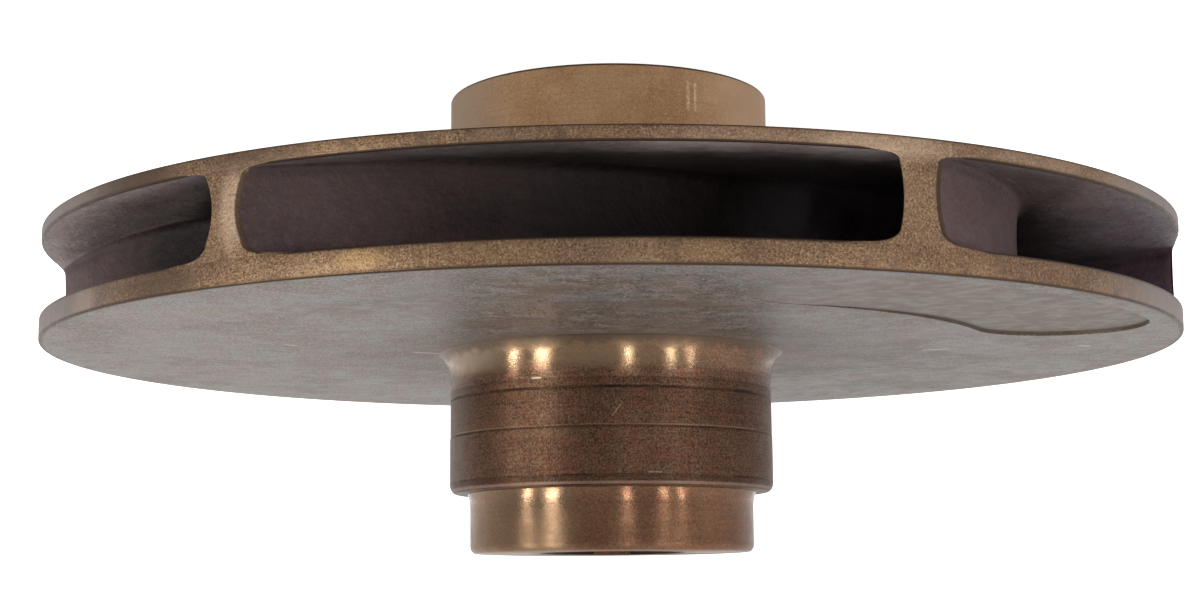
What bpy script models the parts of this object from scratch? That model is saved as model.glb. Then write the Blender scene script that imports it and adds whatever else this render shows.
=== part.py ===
"""Closed pump impeller in bronze, standing on its suction ring with the hub up.

Metres, +Z up. The origin is the centre of the suction ring's end face. The impeller is
one casting; each portion of it is an object of its own. Angles run anticlockwise from +X,
seen from the hub end.
"""

import math

import bmesh
import bpy

# Outer form
IMPELLER_RADIUS = 0.0889
TURNED_STEPS_LARGE = 96
TURNED_STEPS_SMALL = 72

# Heights above the suction ring's end face
RING_SEAM_HEIGHT = 0.0100
FRONT_RIM_LOW = 0.02464
FRONT_RIM_HIGH = 0.02672
BACK_SHROUD_LOW = 0.03813
BACK_SHROUD_HIGH = 0.04162
HUB_STEP_HEIGHT = 0.06380
SPIGOT_SEAM_HEIGHT = 0.06680
SPIGOT_TOP_HEIGHT = 0.07324

# Suction ring, eye and the front shroud's neck
RING_RADIUS = 0.02572
EYE_RADIUS = 0.02150
RING_EDGE_CHAMFER = 0.0004
EYE_LEAD_IN = 0.0010
NECK_OUTER_REACH = 0.0120
NECK_OUTER_RISE = 0.0098
NECK_INNER_REACH = 0.0145
NECK_INNER_RISE = 0.0110
NECK_INNER_START = 0.0120
NECK_ARC_POINTS = 6

# Hub, spigot and bore
HUB_RADIUS = 0.02570
HUB_FLARE_REACH = 0.0016
HUB_FLARE_RISE = 0.0044
HUB_STEP_CHAMFER = 0.0008
SPIGOT_RADIUS = 0.02253
SPIGOT_CHAMFER = 0.0008
BORE_RADIUS = 0.0110
BORE_CHAMFER = 0.0007
KEYWAY_WIDTH = 0.0060
KEYWAY_DEPTH = 0.0028

# Nose inside the eye
NOSE_LOW = 0.0240
NOSE_RADIUS = 0.0165
NOSE_FLARE_REACH = 0.0085
NOSE_FLARE_START = 0.0260
NOSE_EDGE_CHAMFER = 0.0010

# Vanes: logarithmic spirals, backward curved
VANE_ANGLE = math.radians(25.8)
VANE_THICKNESS = 0.0023
VANE_INNER_RADIUS = 0.0260
VANE_STATIONS = 22
VANE_NOSE_POINTS = 5
VANE_TIP_ANGLES = (2.9, -57.0, -115.3, -174.9, -235.6, -296.4)
VANE_CLEARANCE = 0.0003

# Balance cut milled into the back shroud's outer face
BALANCE_TRACK_RADIUS = 0.0729
BALANCE_CUTTER_RADIUS = 0.0124
BALANCE_START_ANGLE = -154.0
BALANCE_END_ANGLE = -114.0
BALANCE_DEPTH = 0.0005
BALANCE_TRACK_POINTS = 12
BALANCE_END_POINTS = 8

# Flares stop this many degrees short of flat, so that none ends in a feather edge
FLARE_LIP = 15.0
FLARE_POINTS = 6

# How far a cutter runs past the faces it opens
CUTTER_OVERRUN = 0.004


def clear_scene():
    for obj in list(bpy.data.objects):
        bpy.data.objects.remove(obj, do_unlink=True)


def collection(name):
    found = bpy.data.collections.new(name)
    bpy.context.scene.collection.children.link(found)
    return found


def bronze(name, color, roughness):
    material = bpy.data.materials.new(name)
    material.use_nodes = True
    shader = material.node_tree.nodes["Principled BSDF"]
    shader.inputs["Base Color"].default_value = (*color, 1.0)
    shader.inputs["Roughness"].default_value = roughness
    shader.inputs["Metallic"].default_value = 1.0
    return material


def polar(radius, degrees):
    angle = math.radians(degrees)
    return radius * math.cos(angle), radius * math.sin(angle)


def quarter_ellipse(center, reach, rise, start, end, points):
    """Points (radius, height) on an ellipse round center, from angle start to end in degrees."""
    made = []
    for i in range(points):
        angle = math.radians(start + (end - start) * i / (points - 1))
        radius = center[0] + reach * math.cos(angle)
        height = center[1] + rise * math.sin(angle)
        made.append((radius, height))
    return made


def turned(name, profile, steps, group, material=None):
    """A solid of revolution. The closed profile runs down its outer side and up its inner side."""
    mesh = bpy.data.meshes.new(name)
    vertices = [(radius, 0.0, height) for radius, height in profile]
    edges = [(i, (i + 1) % len(vertices)) for i in range(len(vertices))]
    mesh.from_pydata(vertices, edges, [])
    obj = bpy.data.objects.new(name, mesh)
    group.objects.link(obj)
    if material:
        mesh.materials.append(material)
    screw = obj.modifiers.new("Turn", "SCREW")
    screw.axis = "Z"
    screw.angle = math.tau
    screw.steps = steps
    screw.render_steps = steps
    screw.use_merge_vertices = True
    screw.merge_threshold = 0.00001
    screw.use_smooth_shade = True
    return obj


def plate(name, outline, low, high, group, material=None):
    """A flat outline given its thickness, as a closed mesh."""
    curve = bpy.data.curves.new(name, "CURVE")
    curve.dimensions = "2D"
    curve.fill_mode = "BOTH"
    curve.extrude = (high - low) / 2
    spline = curve.splines.new("POLY")
    spline.points.add(len(outline) - 1)
    for point, (x, y) in zip(spline.points, outline):
        point.co = (x, y, 0.0, 1.0)
    spline.use_cyclic_u = True
    guide = bpy.data.objects.new(name + "_outline", curve)
    guide.location.z = (low + high) / 2
    group.objects.link(guide)
    bpy.context.view_layer.update()
    graph = bpy.context.evaluated_depsgraph_get()
    mesh = bpy.data.meshes.new_from_object(guide.evaluated_get(graph))
    mesh.name = name
    solid = bmesh.new()
    solid.from_mesh(mesh)
    bmesh.ops.remove_doubles(solid, verts=solid.verts, dist=0.000001)
    bmesh.ops.recalc_face_normals(solid, faces=solid.faces)
    solid.to_mesh(mesh)
    solid.free()
    obj = bpy.data.objects.new(name, mesh)
    obj.matrix_world = guide.matrix_world
    group.objects.link(obj)
    bpy.data.objects.remove(guide, do_unlink=True)
    if material:
        mesh.materials.append(material)
    return obj


def block(name, low, high, group):
    """A box between two corners, as a cutter."""
    mesh = bpy.data.meshes.new(name)
    solid = bmesh.new()
    bmesh.ops.create_cube(solid, size=1.0)
    for vertex in solid.verts:
        for axis in range(3):
            middle = (low[axis] + high[axis]) / 2
            vertex.co[axis] = middle + vertex.co[axis] * (high[axis] - low[axis])
    solid.to_mesh(mesh)
    solid.free()
    obj = bpy.data.objects.new(name, mesh)
    group.objects.link(obj)
    return obj


def as_cutter(obj):
    obj.hide_render = True
    obj.display_type = "WIRE"
    return obj


def boolean(obj, other, operation):
    modifier = obj.modifiers.new(operation.title() + " " + other.name, "BOOLEAN")
    modifier.operation = operation
    modifier.solver = "EXACT"
    modifier.object = other


def front_shroud_inner():
    """The front shroud's water side, from the rim in to the eye."""
    flare = quarter_ellipse(
        (EYE_RADIUS + NECK_INNER_REACH, NECK_INNER_START),
        NECK_INNER_REACH, NECK_INNER_RISE, 90.0, 180.0, NECK_ARC_POINTS,
    )
    return [(IMPELLER_RADIUS, FRONT_RIM_HIGH)] + flare


def front_shroud_outer():
    """The front shroud's dry side, from the neck out to the rim."""
    flare = quarter_ellipse(
        (RING_RADIUS + NECK_OUTER_REACH, RING_SEAM_HEIGHT),
        NECK_OUTER_REACH, NECK_OUTER_RISE, 180.0, 90.0, NECK_ARC_POINTS,
    )
    return flare + [(IMPELLER_RADIUS, FRONT_RIM_LOW)]


def make_front_shroud(parts, material):
    inner_down = front_shroud_inner() + [(EYE_RADIUS, RING_SEAM_HEIGHT)]
    profile = list(reversed(front_shroud_outer())) + list(reversed(inner_down))
    return turned("front_shroud", profile, TURNED_STEPS_LARGE, parts, material)


def make_suction_ring(parts, material):
    profile = [
        (RING_RADIUS, RING_SEAM_HEIGHT),
        (RING_RADIUS, RING_EDGE_CHAMFER),
        (RING_RADIUS - RING_EDGE_CHAMFER, 0.0),
        (EYE_RADIUS + EYE_LEAD_IN, 0.0),
        (EYE_RADIUS, EYE_LEAD_IN),
        (EYE_RADIUS, RING_SEAM_HEIGHT),
    ]
    return turned("suction_ring", profile, TURNED_STEPS_LARGE, parts, material)


def make_back_shroud(parts, material):
    profile = [
        (IMPELLER_RADIUS, BACK_SHROUD_HIGH),
        (IMPELLER_RADIUS, BACK_SHROUD_LOW),
        (BORE_RADIUS, BACK_SHROUD_LOW),
        (BORE_RADIUS, BACK_SHROUD_HIGH),
    ]
    return turned("back_shroud", profile, TURNED_STEPS_LARGE, parts, material)


def make_hub(parts, material):
    """The journal, its flared foot and its shoulder, with the root of the spigot."""
    flare = quarter_ellipse(
        (HUB_RADIUS + HUB_FLARE_REACH, BACK_SHROUD_HIGH + HUB_FLARE_RISE),
        HUB_FLARE_REACH, HUB_FLARE_RISE, 180.0, 270.0 - FLARE_LIP, FLARE_POINTS,
    )
    foot = (flare[-1][0], BACK_SHROUD_HIGH)
    profile = [
        (SPIGOT_RADIUS, SPIGOT_SEAM_HEIGHT),
        (SPIGOT_RADIUS, HUB_STEP_HEIGHT),
        (HUB_RADIUS - HUB_STEP_CHAMFER, HUB_STEP_HEIGHT),
        (HUB_RADIUS, HUB_STEP_HEIGHT - HUB_STEP_CHAMFER),
        *flare,
        foot,
        (BORE_RADIUS, BACK_SHROUD_HIGH),
        (BORE_RADIUS, SPIGOT_SEAM_HEIGHT),
    ]
    return turned("hub", profile, TURNED_STEPS_SMALL, parts, material)


def make_hub_spigot(parts, material):
    profile = [
        (SPIGOT_RADIUS - SPIGOT_CHAMFER, SPIGOT_TOP_HEIGHT),
        (SPIGOT_RADIUS, SPIGOT_TOP_HEIGHT - SPIGOT_CHAMFER),
        (SPIGOT_RADIUS, SPIGOT_SEAM_HEIGHT),
        (BORE_RADIUS, SPIGOT_SEAM_HEIGHT),
        (BORE_RADIUS, SPIGOT_TOP_HEIGHT - BORE_CHAMFER),
        (BORE_RADIUS + BORE_CHAMFER, SPIGOT_TOP_HEIGHT),
    ]
    return turned("hub_spigot", profile, TURNED_STEPS_SMALL, parts, material)


def make_hub_nose(parts, material):
    flare = quarter_ellipse(
        (NOSE_RADIUS + NOSE_FLARE_REACH, NOSE_FLARE_START),
        NOSE_FLARE_REACH, BACK_SHROUD_LOW - NOSE_FLARE_START,
        90.0 + FLARE_LIP, 180.0, FLARE_POINTS,
    )
    profile = [
        (flare[0][0], BACK_SHROUD_LOW),
        *flare,
        (NOSE_RADIUS, NOSE_LOW + NOSE_EDGE_CHAMFER),
        (NOSE_RADIUS - NOSE_EDGE_CHAMFER, NOSE_LOW),
        (BORE_RADIUS + BORE_CHAMFER, NOSE_LOW),
        (BORE_RADIUS, NOSE_LOW + BORE_CHAMFER),
        (BORE_RADIUS, BACK_SHROUD_LOW),
    ]
    return turned("hub_nose", profile, TURNED_STEPS_SMALL, parts, material)


def make_passage_core(cutters):
    """The water space that the vanes fill, just clear of the front shroud."""
    floor = [(radius, height + VANE_CLEARANCE) for radius, height in front_shroud_inner()]
    profile = [(IMPELLER_RADIUS, BACK_SHROUD_LOW), *floor, (EYE_RADIUS, BACK_SHROUD_LOW)]
    return as_cutter(turned("passage_core", profile, TURNED_STEPS_LARGE, cutters))


def spiral_point(tip_angle, turn, offset):
    """A point on a vane: turn is how far it has wound in from the rim, in radians."""
    radius = IMPELLER_RADIUS * math.exp(-math.tan(VANE_ANGLE) * turn)
    angle = math.radians(tip_angle) - turn
    heading = angle - math.pi / 2 - VANE_ANGLE
    x = radius * math.cos(angle) - offset * math.sin(heading)
    y = radius * math.sin(angle) + offset * math.cos(heading)
    return x, y, heading


def vane_outline(tip_angle):
    """Both faces of a vane, with a round nose at the eye and an overrun past the rim."""
    half = VANE_THICKNESS / 2
    last_turn = math.log(IMPELLER_RADIUS / VANE_INNER_RADIUS) / math.tan(VANE_ANGLE)
    first_turn = -CUTTER_OVERRUN / IMPELLER_RADIUS / math.tan(VANE_ANGLE)
    turns = [
        first_turn + (last_turn - first_turn) * i / (VANE_STATIONS - 1)
        for i in range(VANE_STATIONS)
    ]
    outer = [spiral_point(tip_angle, turn, half)[:2] for turn in turns]
    inner = [spiral_point(tip_angle, turn, -half)[:2] for turn in turns]
    x, y, heading = spiral_point(tip_angle, last_turn, 0.0)
    nose = []
    for i in range(1, VANE_NOSE_POINTS + 1):
        angle = heading + math.pi / 2 - math.pi * i / (VANE_NOSE_POINTS + 1)
        nose.append((x + half * math.cos(angle), y + half * math.sin(angle)))
    return outer + nose + list(reversed(inner))


def make_vanes(parts, cutters, material):
    core = make_passage_core(cutters)
    for number, tip_angle in enumerate(VANE_TIP_ANGLES, start=1):
        low = RING_SEAM_HEIGHT
        high = BACK_SHROUD_LOW + CUTTER_OVERRUN
        vane = plate(f"vane_{number}", vane_outline(tip_angle), low, high, parts, material)
        boolean(vane, core, "INTERSECT")


def cut_balance_pocket(back_shroud, cutters):
    """A kidney-shaped pocket, the track of a round cutter on an arc about the axis."""
    outline = []
    inner = BALANCE_TRACK_RADIUS - BALANCE_CUTTER_RADIUS
    outer = BALANCE_TRACK_RADIUS + BALANCE_CUTTER_RADIUS
    sweep = BALANCE_END_ANGLE - BALANCE_START_ANGLE
    for i in range(BALANCE_TRACK_POINTS + 1):
        outline.append(polar(outer, BALANCE_START_ANGLE + sweep * i / BALANCE_TRACK_POINTS))
    for middle_angle, reverse in ((BALANCE_END_ANGLE, False), (BALANCE_START_ANGLE, True)):
        cx, cy = polar(BALANCE_TRACK_RADIUS, middle_angle)
        first = middle_angle + 180.0 if reverse else middle_angle
        for i in range(1, BALANCE_END_POINTS):
            dx, dy = polar(BALANCE_CUTTER_RADIUS, first + 180.0 * i / BALANCE_END_POINTS)
            outline.append((cx + dx, cy + dy))
        if not reverse:
            for i in range(BALANCE_TRACK_POINTS + 1):
                angle = BALANCE_END_ANGLE - sweep * i / BALANCE_TRACK_POINTS
                outline.append(polar(inner, angle))
    low = BACK_SHROUD_HIGH - BALANCE_DEPTH
    high = BACK_SHROUD_HIGH + CUTTER_OVERRUN
    pocket = as_cutter(plate("balance_pocket", outline, low, high, cutters))
    boolean(back_shroud, pocket, "DIFFERENCE")


def cut_keyway(pieces, cutters):
    """One keyway along the whole bore, on the +Y side."""
    low = (-KEYWAY_WIDTH / 2, 0.0, NOSE_LOW - CUTTER_OVERRUN)
    high = (KEYWAY_WIDTH / 2, BORE_RADIUS + KEYWAY_DEPTH, SPIGOT_TOP_HEIGHT + CUTTER_OVERRUN)
    keyway = as_cutter(block("keyway_cutter", low, high, cutters))
    for piece in pieces:
        boolean(piece, keyway, "DIFFERENCE")


def main():
    clear_scene()
    parts = collection("pump_impeller")
    cutters = collection("cutters")

    cast_bronze = bronze("cast_bronze", (0.33, 0.22, 0.13), 0.55)
    dark_passage = bronze("passage_bronze", (0.10, 0.075, 0.06), 0.7)
    grey_face = bronze("tarnished_face", (0.32, 0.28, 0.25), 0.5)
    turned_bronze = bronze("turned_bronze", (0.30, 0.16, 0.09), 0.3)

    make_suction_ring(parts, cast_bronze)
    make_front_shroud(parts, cast_bronze)
    make_vanes(parts, cutters, dark_passage)
    back_shroud = make_back_shroud(parts, grey_face)
    nose = make_hub_nose(parts, dark_passage)
    hub = make_hub(parts, turned_bronze)
    spigot = make_hub_spigot(parts, turned_bronze)

    cut_balance_pocket(back_shroud, cutters)
    cut_keyway((nose, back_shroud, hub, spigot), cutters)


main()
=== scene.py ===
"""Finished looks of the cast bronze pump impeller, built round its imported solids.

Metres, +Z up. The impeller stands on its suction ring with the hub up. The photograph shows it
the other way up, so its left is +X here. The materials measure in millimetres, from the object's
own coordinates.
"""
import math

import bmesh
import bpy
from mathutils import Matrix, Vector, noise


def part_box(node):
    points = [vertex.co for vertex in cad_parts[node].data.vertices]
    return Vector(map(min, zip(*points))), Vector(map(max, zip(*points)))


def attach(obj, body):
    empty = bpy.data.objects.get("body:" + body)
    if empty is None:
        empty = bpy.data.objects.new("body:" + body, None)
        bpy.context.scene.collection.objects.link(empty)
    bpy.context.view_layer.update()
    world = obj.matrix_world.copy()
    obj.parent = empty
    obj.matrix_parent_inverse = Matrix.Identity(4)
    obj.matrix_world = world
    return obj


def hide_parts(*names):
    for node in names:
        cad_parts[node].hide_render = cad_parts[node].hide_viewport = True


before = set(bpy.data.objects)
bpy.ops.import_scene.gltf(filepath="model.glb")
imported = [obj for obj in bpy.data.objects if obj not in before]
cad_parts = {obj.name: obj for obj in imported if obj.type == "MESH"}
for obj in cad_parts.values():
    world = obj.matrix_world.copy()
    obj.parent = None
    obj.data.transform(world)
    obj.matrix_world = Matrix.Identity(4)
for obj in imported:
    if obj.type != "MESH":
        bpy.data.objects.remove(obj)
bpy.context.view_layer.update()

BODY = "root"
MM = 0.001
MERGE_DISTANCE = 0.0000005
MAP_BOUNDS = ("From Min", "From Max", "To Min", "To Max")
SMOOTH_LIMIT = math.radians(32.0)
SEAM_SINK = 0.02 * MM

# Driving sizes, read from the solids
RIM_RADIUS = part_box("back_shroud")[1].x
BACK_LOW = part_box("back_shroud")[0].z
BACK_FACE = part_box("back_shroud")[1].z
FRONT_RIM_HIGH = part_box("front_shroud")[1].z
RING_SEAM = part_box("suction_ring")[1].z
RING_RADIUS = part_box("suction_ring")[1].x
SPIGOT_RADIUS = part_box("hub_spigot")[1].x
SPIGOT_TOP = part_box("hub_spigot")[1].z
NOSE_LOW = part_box("hub_nose")[0].z

# Front shroud, neck and eye
FRONT_RIM_THICKNESS = 2.08 * MM
EYE_RADIUS = 21.5 * MM
EYE_LEAD_IN = 1.0 * MM
RING_EDGE = 0.45 * MM
NECK_OUTER_REACH = 12.0 * MM
NECK_OUTER_RISE = 9.8 * MM
NECK_INNER_REACH = 14.5 * MM
NECK_INNER_RISE = 11.0 * MM
NECK_INNER_START = 12.0 * MM
NECK_ARC_POINTS = 14
FLOOR_START = EYE_RADIUS + NECK_INNER_REACH
FLOOR_LOW = NECK_INNER_START + NECK_INNER_RISE
CONE_PARTS = 10
FLOOR_PARTS = 16
SAND_DEPTH = 0.07 * MM
SAND_GRAIN = 14 * MM
SAND_FADE = 8 * MM

# Rims
RIM_OUTER_ROUND = 0.30 * MM
RIM_INNER_ROUND = 0.42 * MM
LEAST_ROUND = 0.004 * MM
ROUND_FADE_DEGREES = 1.6
DISC_PARTS = 8

# How near a surface the middle of a face has to be to take that surface's finish
RIM_MARGIN = 0.5 * MM
FLOOR_MARGIN = 0.3 * MM
SIDE_MARGIN = 0.2 * MM
BORE_MARGIN = 0.1 * MM

# Hub, spigot, bore and nose
HUB_RADIUS = 25.7 * MM
HUB_STEP = 63.8 * MM
HUB_FLARE_REACH = 2.0 * MM
HUB_FLARE_TOP = 47.3 * MM
HUB_FLARE_POINTS = 16
HUB_FLARE_END = 266.0
HUB_LINES = ((47.9 * MM, 0.03 * MM, 0.25 * MM), (49.25 * MM, 0.06 * MM, 0.34 * MM))
HUB_LEDGE_HEIGHT = 55.15 * MM
HUB_LEDGE_STEP = 0.06 * MM
HUB_LEDGE_RISE = 0.06 * MM
HUB_EDGE_START = 62.35 * MM
HUB_EDGE_REACH = 0.95 * MM
HUB_EDGE_LEAD = 0.12 * MM
HUB_EDGE_END = 6.0
SPIGOT_ROOT_REACH = 0.45 * MM
SPIGOT_ROOT_TOP = 66.2 * MM
SPIGOT_EDGE_REACH = 0.9 * MM
SPIGOT_EDGE_RISE = 1.2 * MM
BORE_RADIUS = 11.0 * MM
BORE_CHAMFER = 0.7 * MM
KEYWAY_WIDTH = 6.0 * MM
KEYWAY_DEPTH = 2.8 * MM
NOSE_RADIUS = 16.5 * MM
NOSE_FLARE_REACH = 8.5 * MM
NOSE_FLARE_START = 26.0 * MM
NOSE_FLARE_END = 94.0
NOSE_FLARE_POINTS = 16
NOSE_EDGE = 1.0 * MM
TURNED_STEPS = 360
HUB_STEPS = 300
NOSE_STEPS = 180

# Vanes: logarithmic spirals that flare into both shrouds
VANE_ANGLE = math.radians(25.8)
VANE_THICKNESS = 2.3 * MM
VANE_DRAFT = 0.25 * MM
SLIM_VANE_THICKNESS = 1.9 * MM
SLIM_VANE_DRAFT = 0.50 * MM
SLIM_VANE_PLACE = 1
VANE_INNER_RADIUS = 26.0 * MM
VANE_TIPS = (2.9, -57.0, -115.3, -174.9, -235.6, -296.4)
VANE_MEAN_OFFSET = 3.9
VANE_STATIONS = 64
VANE_STATION_POWER = 1.2
VANE_COLUMNS = (-1.0, -0.93, -0.84, -0.72, -0.4, 0.0, 0.4, 0.72, 0.84, 0.93, 1.0)
VANE_MIDDLE_ROWS = 7
VANE_FILLET_ROWS = 7
VANE_FRONT_FILLET = 1.0 * MM
VANE_BACK_FILLET = 2.2 * MM
VANE_FILLET_GROWTH = 2.0
VANE_GROWTH_LENGTH = 0.2
VANE_NOSE_LENGTH = 0.06
VANE_SINK = 0.15 * MM
VANE_SINK_INSET = 0.05 * MM
VANE_EDGE_ROUND = 0.26 * MM
VANE_EDGE_COLUMN = 0.84
VANE_EDGE_FADE = 0.6 * VANE_FRONT_FILLET
VANE_SKIM_DEPTH = 0.30 * MM

# Balance cut in the back face: deep at one end, run out to nothing at the other
POCKET_TRACK_RADIUS = 72.9 * MM
POCKET_CUTTER_RADIUS = 12.4 * MM
POCKET_START = math.radians(-154.0)
POCKET_END = math.radians(-114.0)
POCKET_DEPTH = 0.50 * MM
POCKET_END_DEPTH = 0.03 * MM
POCKET_RUN_OUT = 1.5
POCKET_STEPS = 72
POCKET_COLUMNS = 12
POCKET_HEADROOM = 1.0 * MM

# Marks of use, and painted highlights, glints and shade, in millimetres and degrees
# Painted highlight streaks on the suction ring: their angles, then the heights they run between.
RING_HIGHLIGHT_ANGLES = (-118.4, -121.2)
RING_HIGHLIGHT_HEIGHTS = (2.6, 6.6)
# Dark lines round the hub: height, width and share. Those at 47.9 and 49.25 follow tool grooves, 55.15
# is painted shade at the ledge, 62.3 a dark line where the shoulder's edge starts to round, and 63.82
# painted shade at the shoulder's foot.
HUB_DARK_LINES = (
    (47.9, 0.16, 0.5), (49.25, 0.3, 0.9), (55.15, 0.25, 0.85), (62.3, 0.2, 0.8), (63.82, 0.22, 0.85),
)
# Painted glints on the hub: start, end, half width, fade and share of each.
HUB_GLINTS = (
    ((11.7, -22.88, 47.7), (10.5, -23.46, 47.7), 0.05, 0.16, 0.6),
    ((-5.5, -25.1, 61.95), (-7.4, -24.6, 61.95), 0.05, 0.12, 0.5),
)
HUB_SCRATCHES = (((-0.2, -25.76, 53.6), (-1.5, -25.72, 52.0)),)
# Colours for the painted light on the rims: GOLD and PALE are painted highlights, DULL is painted
# shade.
GOLD = (0.78, 0.50, 0.22)
PALE = (0.72, 0.52, 0.38)
DULL = (0.15, 0.10, 0.075)
# Painted highlights and painted shade on the rims: angle, height, length, rise, share and colour of
# each patch.
RIM_PAINTED_LIGHT = (
    (-70.5, 39.8, 10.0, 3.2, 0.42, GOLD), (-80.0, 39.8, 26.0, 4.0, 0.12, GOLD),
    (-97.5, 39.8, 12.0, 3.2, 0.22, GOLD), (-58.0, 32.0, 5.5, 14.0, 0.66, PALE),
    (-36.5, 40.0, 11.0, 6.0, 0.75, PALE), (-45.0, 25.8, 28.0, 5.0, 0.90, DULL),
    (-60.0, 25.8, 24.0, 4.6, 0.60, DULL), (-50.0, 40.0, 20.0, 5.0, 0.65, DULL),
    (-95.0, 40.0, 34.0, 5.0, 0.16, DULL), (-82.0, 25.8, 12.0, 4.0, 0.12, PALE),
    (-100.0, 25.8, 24.0, 5.0, 0.24, PALE), (-112.0, 25.8, 28.0, 6.0, 0.60, PALE),
    (-128.0, 25.8, 26.0, 6.0, 0.30, PALE), (-142.0, 25.8, 20.0, 6.0, 0.30, PALE),
)
FACE_NICKS = (
    ((-75.4, -6.6, 41.62), (-74.0, -7.4, 41.62)), ((49.6, -17.2, 41.62), (48.4, -16.6, 41.62)),
    ((-50.0, -3.5, 41.62), (-53.5, -4.5, 41.62)), ((26.5, -4.0, 41.62), (31.0, -6.5, 41.62)),
)
FACE_STAINS = (
    (57.0, -97.0, 34.0, 8.0, 0.7), (71.5, -84.5, 14.0, 7.0, 0.6), (44.0, -70.0, 24.0, 8.0, 0.4),
    (66.0, -61.0, 34.0, 16.0, 0.5), (76.0, -112.0, 30.0, 12.0, 0.3),
)

# Where the finishes change, in millimetres, and how they filter a colour
OPENING_EDGE = 0.75
FRONT_SKIN_END = 25.1
# BORE_MOUTH: where the painted shade at the bore's mouth fades out.
BORE_MOUTH = (12.9, 13.7)
# CREASE_HEIGHT, the sides and SIDE_REACH set where the painted light and shade in the passages change.
CREASE_HEIGHT = 0.8
RIGHT_SIDE = (-44.0, -36.0)
LEFT_SIDE = (48.0, 62.0)
SIDE_REACH = 9.0
BLUES_SHIFT = (40.0, 0.0, 90.0)
FLOOR_HUE = (0.86, 1.28, 1.27)
VANE_HUE = (1.0, 0.91, 0.95)
FAR_VANE_HUE = (0.84, 1.0, 1.18)
ARC_PATCH_CORE = 0.1
RIM_PATCH_CORE = 0.35
QUARTER_TURN = 0.25

# Camera, fitted to the photograph's outlines
CAMERA_PLACE = (0.0, -0.32004, 0.08022)
CAMERA_PITCH = 0.1493
CAMERA_YAW = -0.005
CAMERA_ROLL = -0.0083
CAMERA_LENS = 59.95
CAMERA_SENSOR = 36.0

# Ground, in metres
FLOOR_REACH = 60.0
FLOOR_DROP = 0.0001
FLOOR_GLOW = 0.95

# Windows: name, azimuth in degrees, width in metres, strength in watts
WINDOWS = (
    ("window_far_left", -72.0, 0.08, 5.2), ("window_left", -49.0, 0.30, 8.6),
    ("window_middle", 12.5, 0.07, 2.9), ("window_right", 43.0, 0.14, 2.8),
    ("window_far_right", 58.0, 0.10, 2.2),
)
WINDOW_ELEVATION = 18.0
WINDOW_HEIGHT = 0.9
WINDOW_DISTANCE = 2.0
WINDOW_TARGET = (0.0, 0.0, 0.05)
WINDOW_TINT = (1.0, 1.0, 0.93)

# Dome brightness by the sine of the height above the horizon
DOME_LEVELS = (
    (-1.0, 0.30), (-0.2, 0.32), (-0.012, 0.40), (-0.008, 1.0), (0.03, 1.0), (0.04, 0.45),
    (0.25, 0.60), (1.0, 0.62),
)
DOME_TINT = (1.0, 0.985, 0.97)

# Dome strength by how far a direction leans to the bright side: from, to, and strength at each
BRIGHT_SIDE = (-0.4, 0.92, 0.0)
DOME_STRENGTH = (-0.55, 0.45, 0.85, 1.45)


def polar(radius, angle):
    return radius * math.cos(angle), radius * math.sin(angle)


def clamp(value):
    return min(1.0, max(0.0, value))


def set_inputs(node, names, *values):
    for name, value in zip(names, values, strict=True):
        node.inputs[name].default_value = value


def add_object(name, data):
    obj = bpy.data.objects.new(name, data)
    bpy.context.scene.collection.objects.link(obj)
    return obj


def evaluated_mesh(obj):
    graph = bpy.context.evaluated_depsgraph_get()
    return bpy.data.meshes.new_from_object(obj.evaluated_get(graph))


def smooth(mesh):
    """Smooth shading, but for the sharp edges."""
    mesh.shade_smooth()
    mesh.set_sharp_from_angle(angle=SMOOTH_LIMIT)


def quarter_ellipse(center, reach, rise, start, end, points):
    """Points (radius, height) on an ellipse round center, from angle start to end in degrees."""
    made = []
    for i in range(points):
        angle = math.radians(start + (end - start) * i / (points - 1))
        made.append((center[0] + reach * math.cos(angle), center[1] + rise * math.sin(angle)))
    return made


def root_arc(wall, top, foot, reach, points):
    """An arc that leaves a straight wall at a height and has swung out by reach at its foot."""
    drop = top - foot
    swing = 2 * math.atan2(reach, drop)
    radius = drop / math.sin(swing)
    made = []
    for i in range(points):
        angle = swing * i / (points - 1)
        made.append((wall + radius * (1 - math.cos(angle)), top - radius * math.sin(angle)))
    return made


def between(start, end, count):
    """The inner points of a straight stretch cut into count equal parts."""
    return [
        (start[0] + (end[0] - start[0]) * i / count, start[1] + (end[1] - start[1]) * i / count)
        for i in range(1, count)
    ]


def rounded_corner(before, corner, after, radius, points=5):
    """An arc of the given radius in place of a section's corner."""
    a = (Vector(before) - Vector(corner)).normalized()
    b = (Vector(after) - Vector(corner)).normalized()
    half = a.angle(b) / 2
    reach = radius / math.tan(half)
    center = Vector(corner) + (a + b).normalized() * radius / math.sin(half)
    start = Vector(corner) + a * reach - center
    end = Vector(corner) + b * reach - center
    first = math.atan2(start.y, start.x)
    sweep = (math.atan2(end.y, end.x) - first + math.pi) % math.tau - math.pi
    made = []
    for i in range(points):
        angle = first + sweep * i / (points - 1)
        made.append((center.x + radius * math.cos(angle), center.y + radius * math.sin(angle)))
    return made


def finished_mesh(name, shape, materials):
    """The bmesh as an object at the origin, smooth but for its sharp edges."""
    bmesh.ops.remove_doubles(shape, verts=shape.verts, dist=MERGE_DISTANCE)
    bmesh.ops.dissolve_degenerate(shape, edges=shape.edges, dist=MERGE_DISTANCE)
    bmesh.ops.recalc_face_normals(shape, faces=shape.faces)
    mesh = bpy.data.meshes.new(name)
    shape.to_mesh(mesh)
    shape.free()
    smooth(mesh)
    for material in materials:
        mesh.materials.append(material)
    return add_object(name, mesh)


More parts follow.
